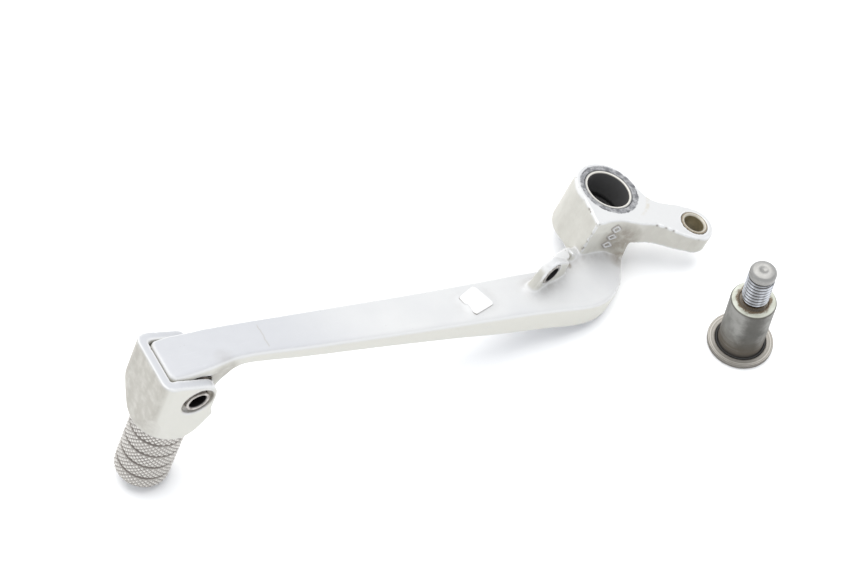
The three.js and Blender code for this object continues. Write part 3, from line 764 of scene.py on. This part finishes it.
class Shader:
    """A Principled material with short calls for the nodes that feed it."""

    def __init__(self, name):
        self.material = bpy.data.materials.new(name)
        self.material.use_nodes = True
        self.tree = self.material.node_tree
        self.principled = self.tree.nodes["Principled BSDF"]
        self.place = self.attribute("mm", "Vector")

    def node(self, kind, **settings):
        made = self.tree.nodes.new(kind)
        for key, value in settings.items():
            setattr(made, key, value)
        return made

    def feed(self, socket, value):
        if isinstance(value, bpy.types.NodeSocket):
            self.tree.links.new(value, socket)
        elif socket.type == "RGBA" and len(value) == 3:
            socket.default_value = (*value, 1)
        else:
            socket.default_value = value

    def attribute(self, name, output="Fac"):
        return self.node("ShaderNodeAttribute", attribute_name=name).outputs[output]

    def math(self, operation, a, b=0.0, clamp=False):
        made = self.node("ShaderNodeMath", operation=operation, use_clamp=clamp)
        self.feed(made.inputs[0], a)
        self.feed(made.inputs[1], b)
        return made.outputs[0]

    def times(self, a, b, clamp=False):
        return self.math("MULTIPLY", a, b, clamp)

    def wander(self, noise, reach):
        """Noise centred on zero, for a line that isn't quite straight or round."""
        return self.times(self.math("SUBTRACT", noise, 0.5), reach)

    def stretched(self, scale):
        """The millimetre place with each axis scaled, for marks that run along one of them."""
        made = self.node("ShaderNodeMapping")
        self.feed(made.inputs["Vector"], self.place)
        made.inputs["Scale"].default_value = scale
        return made.outputs[0]

    def noise(self, scale, detail=4.0, roughness=0.55, vector=None, distortion=0.0):
        made = self.node("ShaderNodeTexNoise")
        self.feed(made.inputs["Vector"], vector or self.place)
        made.inputs["Scale"].default_value = scale
        made.inputs["Detail"].default_value = detail
        made.inputs["Roughness"].default_value = roughness
        made.inputs["Distortion"].default_value = distortion
        return made.outputs["Fac"]

    def cells(self, scale):
        made = self.node("ShaderNodeTexVoronoi")
        self.feed(made.inputs["Vector"], self.place)
        made.inputs["Scale"].default_value = scale
        return made.outputs["Distance"]

    def span(self, value, low, high, start=0.0, end=1.0):
        """value mapped from low..high to start..end, smoothly, and held at the ends."""
        made = self.node("ShaderNodeMapRange", interpolation_type="SMOOTHSTEP")
        self.feed(made.inputs["Value"], value)
        for socket, number in zip(("From Min", "From Max", "To Min", "To Max"), (low, high, start, end)):
            made.inputs[socket].default_value = number
        return made.outputs["Result"]

    def mix(self, share, a, b):
        made = self.node("ShaderNodeMix", data_type="RGBA")
        self.feed(made.inputs["Factor"], share)
        self.feed(made.inputs[6], a)
        self.feed(made.inputs[7], b)
        return made.outputs[2]

    def blend(self, share, a, b):
        made = self.node("ShaderNodeMix", data_type="FLOAT")
        self.feed(made.inputs[0], share)
        self.feed(made.inputs[2], a)
        self.feed(made.inputs[3], b)
        return made.outputs[0]

    def from_axis(self, x, y):
        """Distance in mm from a line parallel to Z."""
        dx = self.math("SUBTRACT", self.axis(0), x)
        dy = self.math("SUBTRACT", self.axis(1), y)
        return self.math("SQRT", self.math("ADD", self.times(dx, dx), self.times(dy, dy)))

    def rings(self, scale):
        """Noise that only changes with the distance from the Z axis: lathe marks on a face."""
        joined = self.node("ShaderNodeCombineXYZ")
        self.feed(joined.inputs[0], self.from_axis(0, 0))
        return self.noise(scale, 4, 0.6, joined.outputs[0])

    def axis(self, index):
        """One of the millimetre place's three numbers."""
        parts = self.node("ShaderNodeSeparateXYZ")
        self.feed(parts.inputs[0], self.place)
        return parts.outputs[index]

    def bump(self, height, distance_mm, strength=1.0):
        made = self.node("ShaderNodeBump")
        made.inputs["Strength"].default_value = strength
        made.inputs["Distance"].default_value = distance_mm * MM
        self.feed(made.inputs["Height"], height)
        return made.outputs["Normal"]

    def done(self, color, roughness, metallic, normal):
        self.feed(self.principled.inputs["Base Color"], color)
        self.feed(self.principled.inputs["Roughness"], roughness)
        self.feed(self.principled.inputs["Metallic"], metallic)
        self.feed(self.principled.inputs["Normal"], normal)
        return self.material


def silver_paint():
    """Satin silver paint on forged aluminium, with a lighter copy on its sides that is painted light,
    dirt with painted shade in its hollows and where grime_and_shade is marked, rubbed edges with a
    painted highlight, a painted highlight band where the top turns into the flank, small dark chips, a
    grey rubbed ring round the pivot bore and painted shade down the bore."""
    s = Shader("silver_paint")
    patches = s.noise(0.4, 5, 0.6)
    side = s.attribute("side")
    scratches = s.noise(1.0, 3, 0.5, s.stretched((0.12, 2.6, 1.2)), 0.4)
    thin = s.span(scratches, 0.64, 0.68)
    dirt = paint_dirt_and_shade(s, patches)
    # Rubbed paint on the edges, lightened as well to stand for the highlight that runs along them.
    wear_and_highlight = s.times(s.attribute("edge"), s.span(patches, 0.35, 0.6, 0.35, 1.1))
    wear_and_highlight = s.span(wear_and_highlight, 0.4, 0.9)
    chips = paint_chips(s)
    color = s.mix(s.times(thin, 0.15), clean_paint(s, side, patches), (0.5, 0.5, 0.52))
    # dirt holds dirt and painted shade together: both turn dirt brown here.
    color = s.mix(s.times(dirt, 0.85), color, (0.17, 0.14, 0.105))
    color = s.mix(s.times(wear_and_highlight, 0.75), color, (0.70, 0.70, 0.71))
    # A lighter band where the face turns from top to flank: a painted highlight along the rounded edges.
    painted_edge_highlight = s.times(s.times(side, s.math("SUBTRACT", 1.0, side)), 3.4, clamp=True)
    color = s.mix(s.times(painted_edge_highlight, s.math("SUBTRACT", 1.0, dirt)), color, (0.61, 0.61, 0.61))
    color = s.mix(s.times(chips, 0.7), color, (0.16, 0.14, 0.12))
    color = s.mix(crease(s), boss_rings_and_bore_shade(s, color), (0.30, 0.28, 0.25))
    roughness = s.blend(wear_and_highlight, s.span(patches, 0.3, 0.7, 0.42, 0.56), 0.38)
    metallic = s.blend(s.math("MAXIMUM", dirt, chips), s.blend(wear_and_highlight, 0.12, 0.35), 0.0)
    height = s.math("ADD", s.times(s.noise(3.2, 6, 0.7), 0.5), s.times(patches, 1.2))
    height = s.math("SUBTRACT", height, s.times(thin, 0.3))
    return s.done(color, roughness, metallic, s.bump(height, 0.05, 0.7))


def clean_paint(s, side, patches):
    """Silver on the faces that look up, lighter toward the boss; a lighter, yellower copy of the paint on
    the flanks, painted light on the sides, with dirt streaks where grime_and_shade is marked.
    """
    broad = s.times(s.span(s.axis(0), -118, -80), s.span(s.noise(0.04, 3), 0.3, 0.6, 0.6, 1.0))
    top = s.mix(broad, (0.40, 0.404, 0.42), (0.49, 0.49, 0.488))
    # The flanks' lighter, yellower copy of the paint is painted light on the sides.
    flank_with_painted_light = s.mix(patches, (0.53, 0.52, 0.47), (0.59, 0.58, 0.535))
    streaks = s.noise(1.0, 4, 0.6, s.stretched((0.3, 0.3, 0.07)))
    streaked = s.times(s.span(s.attribute("grime_and_shade"), 0.1, 0.3), s.span(streaks, 0.4, 0.7, 0, 0.3))
    return s.mix(streaked, s.mix(side, top, flank_with_painted_light), (0.33, 0.31, 0.27))


def paint_dirt_and_shade(s, patches):
    """Mask of the dirt in every hollow, and of the caked dirt and painted shade where grime_and_shade is
    marked.
    """
    dirt = s.times(s.attribute("hollow"), s.span(patches, 0.3, 0.65, 0.1, 0.6))
    marked_dirt_and_shade = s.times(s.attribute("grime_and_shade"), s.span(patches, 0.3, 0.6, 0.55, 1.0))
    return s.math("MAXIMUM", dirt, marked_dirt_and_shade, clamp=True)


def paint_chips(s):
    """Mask of the nicks on the edges, and of sparse specks all over."""
    specks = s.times(s.span(s.cells(0.55), 0.055, 0.035), s.span(s.noise(0.35, 2), 0.55, 0.6))
    return s.math("MAXIMUM", s.span(s.attribute("nick"), 0.3, 0.65), specks)


def boss_rings_and_bore_shade(s, color):
    """The paint color with the boss's rubbed ring, its outline and stain, and painted shade down the
    bore.
    """
    ring, rim_line, stain = bore_rings(s)
    color = s.mix(s.times(stain, 0.45), color, (0.40, 0.35, 0.25))
    mottle = s.span(s.noise(0.55, 5, 0.62), 0.35, 0.65)
    color = s.mix(ring, color, s.mix(mottle, (0.10, 0.102, 0.11), (0.29, 0.29, 0.295)))
    color = s.mix(rim_line, color, (0.045, 0.045, 0.05))
    # Painted shade down the arm's bore.
    bore = s.times(s.span(s.from_axis(0, 0), 7.9, 7.7), s.span(s.axis(2), -0.6, -0.9))
    return s.mix(bore, color, (0.05, 0.05, 0.052))


def bore_rings(s):
    """Masks on the boss's top face: the grey rubbed ring, which is wider on one side, its dark
    outer line, and a faint stain round the spot face."""
    top_face = s.span(s.axis(2), -0.9, -0.45)
    shifted = s.from_axis(0.2, -0.1)
    wander = s.wander(s.noise(0.5, 5, 0.65), 1.5)
    edge = s.math("ADD", shifted, wander)
    ring = s.times(s.span(edge, 9.3, 8.9), top_face)
    line = s.math("ABSOLUTE", s.math("SUBTRACT", edge, 8.95))
    line = s.times(s.span(line, 0.3, 0.05), s.span(s.noise(0.45, 3), 0.45, 0.6))
    line = s.times(s.times(line, 0.8), top_face)
    off = s.math("ABSOLUTE", s.math("SUBTRACT", s.from_axis(0.0, 0.0), 12.4))
    stain = s.times(s.span(off, 0.9, 0.1), s.span(s.noise(0.3, 3), 0.42, 0.6))
    stain = s.times(s.times(stain, top_face), s.span(s.axis(0), 2.0, 5.0))
    return ring, line, stain


def crease(s):
    """A short line of painted shade across the long arm, in the crease where it necks down before the
    hinge eye.
    """
    wander = s.wander(s.noise(0.3, 2), 1.2)
    along = s.math("ADD", s.axis(0), wander)
    line = s.span(s.math("ABSOLUTE", s.math("SUBTRACT", along, CREASE[0])), 0.3, 0.05)
    across = s.span(s.math("ABSOLUTE", s.math("SUBTRACT", s.axis(1), CREASE[1])), 3.9, 3.0)
    top_face = s.span(s.axis(2), -14.6, -14.0)
    return s.times(s.times(line, across), s.times(top_face, 0.55))


def bore_steel():
    """Pale worn rim, with painted shade down the bore."""
    s = Shader("bore_steel")
    grain = s.noise(2.4, 5, 0.65)
    turned_lines = s.noise(1.0, 4, 0.6, s.stretched((0.4, 0.4, 7.0)))
    color = s.mix(grain, (0.46, 0.44, 0.39), (0.66, 0.64, 0.60))
    outer = s.span(s.from_axis(0, 0), 7.0, 7.15)
    color = s.mix(s.times(outer, 0.8), color, (0.20, 0.20, 0.20))
    # Painted shade down the bore.
    inside = s.span(s.axis(2), -0.3, -0.55)
    color = s.mix(inside, color, s.mix(turned_lines, (0.05, 0.05, 0.052), (0.075, 0.073, 0.072)))
    metallic = s.blend(inside, 0.45, 0.0)
    return s.done(color, s.blend(inside, 0.4, 0.7), metallic, s.bump(turned_lines, 0.02, 0.4))


def stained_brass():
    """Dull bush metal: a pale beige rim, and an olive-brown bore with painted shade deepening as it goes
    down.
    """
    s = Shader("stained_brass")
    patches = s.noise(0.9, 5, 0.65)
    grain = s.noise(5.0, 5, 0.7)
    rim = s.mix(patches, (0.34, 0.31, 0.25), (0.56, 0.54, 0.48))
    color = s.mix(s.span(grain, 0.5, 0.75, 0, 0.5), rim, (0.30, 0.24, 0.16))
    outer = s.span(s.from_axis(*LINKAGE_EYE), 3.6, 3.8)
    color = s.mix(s.times(outer, s.span(patches, 0.3, 0.6, 0.55, 0.95)), color, (0.20, 0.16, 0.11))
    inside = s.span(s.axis(2), 0.0, -0.6)
    bore = s.mix(patches, (0.15, 0.12, 0.06), (0.30, 0.25, 0.15))
    color = s.mix(inside, color, bore)
    # Painted shade, deepening down the bore.
    color = s.mix(s.span(s.axis(2), -1.5, -6.0, 0.0, 0.6), color, (0.02, 0.014, 0.008))
    return s.done(color, s.span(grain, 0.3, 0.7, 0.4, 0.6), 0.5, s.bump(grain, 0.03, 0.6))


def dull_steel(name, dark, light, roughness, metallic=0.9):
    """Steel with blotches and fine pits, from a dark to a light colour, near black where painted shade
    lies in a bore.
    """
    s = Shader(name)
    patches = s.noise(0.7, 5, 0.65)
    grain = s.noise(6.0, 5, 0.7)
    color = s.mix(s.span(patches, 0.3, 0.7), dark, light)
    color = s.mix(s.span(grain, 0.5, 0.75, 0, 0.5), color, dark)
    # Painted shade in bores, where grime_and_shade is marked.
    color = s.mix(s.attribute("grime_and_shade"), color, (0.012, 0.011, 0.012))
    rough = s.span(grain, 0.3, 0.7, roughness - 0.08, roughness + 0.12)
    return s.done(color, rough, metallic, s.bump(grain, 0.03, 0.7))


def knurled_steel():
    """Plated steel with brown-black dirt packed in the knurl and bright tooth tips."""
    s = Shader("knurled_steel")
    patches = s.noise(0.32, 5, 0.7)
    grain = s.noise(4.0, 5, 0.7)
    hollow = s.attribute("hollow")
    color = s.mix(s.span(patches, 0.3, 0.7), (0.40, 0.375, 0.345), (0.58, 0.555, 0.52))
    packed = s.math("ADD", hollow, s.wander(patches, 0.9))
    dirt = s.span(packed, 0.32, 0.75)
    color = s.mix(s.times(dirt, 0.78), color, (0.105, 0.085, 0.07))
    tip = s.span(hollow, 0.16, 0.02)
    color = s.mix(s.times(tip, 0.7), color, (0.78, 0.76, 0.72))
    roughness = s.blend(dirt, 0.34, 0.7)
    return s.done(color, roughness, s.blend(dirt, 0.6, 0.2), s.bump(grain, 0.04, 0.7))


def bolt_steel():
    """Dull grey zinc: a shoulder with a painted dark reflection and painted shade browning toward the
    head, a pale end face with a rusty ring, a bright thread streaked with painted reflection and a
    satin dog."""
    s = Shader("bolt_steel")
    patches = s.noise(0.22, 5, 0.6)
    grain = s.noise(4.0, 6, 0.7)
    distance, height = s.from_axis(0, 0), s.axis(2)
    end_face = s.span(height, 19.9, 20.3)
    above = s.span(height, 20.55, 20.9)
    dog = s.span(height, 31.0, 31.5)
    color = bolt_shoulder(s, patches, distance, height)
    color = s.mix(end_face, color, bolt_end_face(s, patches, grain, distance))
    color = s.mix(above, color, bolt_thread(s, distance, dog))
    roughness = s.blend(above, s.span(grain, 0.3, 0.7, 0.42, 0.6), s.blend(dog, 0.24, 0.42))
    metallic = s.blend(end_face, 0.55, s.blend(above, 0.2, s.blend(dog, 0.9, 0.6)))
    return s.done(color, roughness, metallic, s.bump(grain, 0.03, 0.6))


def bolt_shoulder(s, patches, distance, height):
    """Grey zinc with a painted dark reflection, darker and browner low down, painted shade at its root,
    and a lathe-ringed flange at its foot.
    """
    bands = s.noise(1.0, 4, 0.6, s.stretched((0.06, 0.06, 1.6)))
    color = s.mix(s.span(patches, 0.3, 0.7), (0.15, 0.147, 0.135), (0.26, 0.256, 0.24))
    # A dark patch on the side toward the camera: a painted reflection.
    painted_dark_reflection = s.span(s.math("ADD", s.from_axis(-3.2, -6.4), s.times(patches, 4.0)), 6.8, 3.6)
    color = s.mix(s.times(painted_dark_reflection, 0.75), color, (0.06, 0.057, 0.05))
    # Darker and browner toward the head: painted shade with brown staining.
    low = s.times(s.span(height, 12.0, 3.0), s.span(bands, 0.3, 0.65, 0.5, 1.0))
    color = s.mix(low, color, (0.085, 0.07, 0.052))
    ringed = s.mix(s.span(s.rings(2.6), 0.4, 0.6), (0.08, 0.07, 0.06), (0.50, 0.48, 0.44))
    blotched = s.mix(s.noise(0.8, 5, 0.7), (0.15, 0.135, 0.11), (0.36, 0.34, 0.31))
    color = s.mix(s.span(height, 2.0, 1.85), color, s.mix(0.4, ringed, blotched))
    # Painted shade at the shoulder's root.
    root_shade = s.times(s.span(distance, 7.5, 7.0), s.span(height, 3.4, 1.6))
    return s.mix(root_shade, color, (0.03, 0.025, 0.02))


def bolt_end_face(s, patches, grain, distance):
    """Cream zinc with a rusty ring round the thread and a dark outer corner."""
    cream = s.mix(s.span(patches, 0.3, 0.65), (0.36, 0.365, 0.30), (0.50, 0.51, 0.45))
    rust = s.span(s.math("ADD", distance, s.wander(s.noise(0.55, 5, 0.7), 3.4)), 5.35, 4.7)
    cream = s.mix(s.times(rust, s.span(grain, 0.3, 0.6, 0.7, 1.0)), cream, (0.10, 0.062, 0.03))
    return s.mix(s.span(distance, 6.05, 6.3), cream, (0.07, 0.062, 0.05))


def bolt_thread(s, distance, dog):
    """Bright crests with vertical streaks of painted reflection over dark roots, and the satin dog above
    them.
    """
    crest = s.span(distance, 3.35, 3.7)
    # Vertical light and dark streaks on the crests: a painted reflection.
    painted_reflection_streaks = s.span(s.noise(1.0, 3, 0.5, s.stretched((0.42, 0.42, 0.05))), 0.35, 0.65)
    bright = s.mix(crest, (0.06, 0.055, 0.05), s.mix(painted_reflection_streaks, (0.30, 0.305, 0.315), (0.64, 0.655, 0.69)))
    satin = s.mix(s.noise(0.8, 5, 0.7), (0.20, 0.196, 0.185), (0.35, 0.345, 0.335))
    return s.mix(dog, bright, satin)


def seal_rubber():
    s = Shader("seal_rubber")
    grain = s.noise(5.0, 5, 0.7)
    color = s.mix(grain, (0.008, 0.008, 0.008), (0.04, 0.038, 0.035))
    return s.done(color, s.span(grain, 0.3, 0.7, 0.6, 0.85), 0.0, s.bump(grain, 0.04, 0.8))


def bench_white():
    """A plain pale bench, faintly uneven."""
    s = Shader("bench_white")
    patches = s.noise(0.012, 4, 0.6)
    color = s.mix(patches, (0.91, 0.91, 0.915), (0.94, 0.94, 0.94))
    return s.done(color, 0.75, 0.0, s.bump(s.noise(1.2, 4, 0.6), 0.03, 0.3))


# ---- Dressing: frames, attributes, materials and bodies ----


def keep_millimetres(obj):
    """Stores each vertex's place in its own frame, for the material."""
    mesh = obj.data
    flat = np.empty(len(mesh.vertices) * 3, np.float32)
    mesh.vertices.foreach_get("co", flat)
    attribute = mesh.attributes.new("mm", "FLOAT_VECTOR", "POINT")
    attribute.data.foreach_set("vector", flat)


def dress(obj, matrix, material, slot, body, *nodes):
    """Gives a piece its attributes and material, moves it into the scene, and puts it on its body."""
    for name in ("edge", "hollow", "nick", "grime_and_shade", "side"):
        if name not in obj.data.attributes:
            keep_attribute(obj.data, name, np.zeros(len(obj.data.vertices)))
    keep_millimetres(obj)
    obj.data.transform(matrix)
    obj.data.materials.clear()
    obj.data.materials.append(material)
    obj.data.polygons.foreach_set("use_smooth", np.ones(len(obj.data.polygons), bool))
    obj.data.update()
    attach(obj, body)
    if nodes:
        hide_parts(*nodes)


def build_lever():
    paint = silver_paint()
    steel = bore_steel()
    brass = stained_brass()
    dark = dull_steel("dark_steel", (0.05, 0.042, 0.036), (0.17, 0.15, 0.13), 0.45)
    pin_steel = dull_steel("pin_steel", (0.22, 0.20, 0.18), (0.56, 0.53, 0.50), 0.38, 0.5)
    spring = dull_steel("spring_steel", (0.06, 0.045, 0.035), (0.20, 0.165, 0.14), 0.5)
    arm = lever_arm()
    mark = cast_mark(arm)
    dress(arm, LEVER, paint, "silver_paint", "lever", "lever_arm")
    dress(mark, LEVER, paint, "silver_paint", "lever")
    dress(arm_pad(), LEVER, paint, "silver_paint", "lever")
    for node in ("pivot_bush_upper", "pivot_bush_lower"):
        dress(ring(node, LEVER, rounding=0.22), LEVER, steel, "bush_steel", "lever", node)
    dress(linkage_bush(), LEVER, brass, "bush_brass", "lever", "linkage_bush")
    dress(lug_insert(), LEVER, pin_steel, "dark_steel", "lever", "lug_insert")
    hinge_bush, hinge_shim = (ring(node, LEVER, "y", 64, 0.12) for node in ("hinge_bush", "hinge_shim"))
    dress(hinge_bush, LEVER, brass, "bush_brass", "lever", "hinge_bush")
    dress(hinge_shim, LEVER, dark, "dark_steel", "lever", "hinge_shim")
    dress(torsion_spring(), LEVER, spring, "spring_steel", "lever", "torsion_spring")
    dress(toe_clevis(), LEVER, paint, "silver_paint", "toe", "toe_clevis")
    dress(toe_peg(), LEVER, knurled_steel(), "peg_steel", "toe", "toe_peg")
    dress(peg_screw(), LEVER, dark, "dark_steel", "toe", "peg_screw")
    dress(hinge_pin(), LEVER, pin_steel, "dark_steel", "toe", "hinge_pin")


def build_bolt():
    steel = bolt_steel()
    dress(pivot_bolt(), BOLT, steel, "bolt_steel", "bolt", "pivot_bolt")
    washer = ring("flange_washer", BOLT, rounding=0.14)
    dress(washer, BOLT, steel, "bolt_steel", "bolt", "flange_washer")
    seal = ring("dust_seal", BOLT, rounding=0.25)
    dress(seal, BOLT, seal_rubber(), "seal_rubber", "bolt", "dust_seal")


# ---- Stage ----


def bench():
    half = 2.5
    corners = [(-half, -half, 0), (half, -half, 0), (half, half, 0), (-half, half, 0)]
    obj = new_object("bench_top", np.array(corners) / MM, [(0, 1, 2, 3)])
    keep_millimetres(obj)
    obj.data.transform(Matrix.Scale(MM, 4))
    obj.data.materials.append(bench_white())


def area_light(name, place, target, size, power, color):
    data = bpy.data.lights.new(name, "AREA")
    data.shape = "DISK"
    data.size = size
    data.energy = power
    data.color = color
    obj = bpy.data.objects.new(name, data)
    obj.location = place
    obj.rotation_euler = (Vector(target) - Vector(place)).to_track_quat("-Z", "Y").to_euler()
    bpy.context.scene.collection.objects.link(obj)


def lights():
    """A pale sky all round and a large softbox overhead, a little toward the far side."""
    world = bpy.data.worlds.new("studio")
    world.use_nodes = True
    background = world.node_tree.nodes["Background"]
    background.inputs["Color"].default_value = (0.94, 0.965, 1.0, 1)
    background.inputs["Strength"].default_value = 1.1
    bpy.context.scene.world = world
    area_light("softbox", (0.25, 0.45, 1.4), (0, 0, 0), 2.0, 25, (1.0, 0.99, 0.97))


def camera():
    azimuth, elevation, roll = (math.radians(CAMERA[k]) for k in ("azimuth", "elevation", "roll"))
    forward = Vector((
        math.sin(azimuth) * math.cos(elevation),
        math.cos(azimuth) * math.cos(elevation),
        -math.sin(elevation),
    ))
    level = Vector((math.cos(azimuth), -math.sin(azimuth), 0))
    rise = level.cross(forward)
    right = math.cos(roll) * level + math.sin(roll) * rise
    up = math.cos(roll) * rise - math.sin(roll) * level
    data = bpy.data.cameras.new("camera")
    data.sensor_width = SENSOR_MM
    data.lens = LENS_MM
    data.clip_start = 0.01
    obj = bpy.data.objects.new("camera", data)
    obj.matrix_world = Matrix((right, up, -forward)).transposed().to_4x4()
    obj.location = CAMERA_TARGET - forward * CAMERA["distance"]
    bpy.context.scene.collection.objects.link(obj)
    bpy.context.scene.camera = obj


build_lever()
build_bolt()
bench()
lights()
camera()
bpy.context.scene.view_settings.view_transform = "Standard"

bpy.context.view_layer.update()
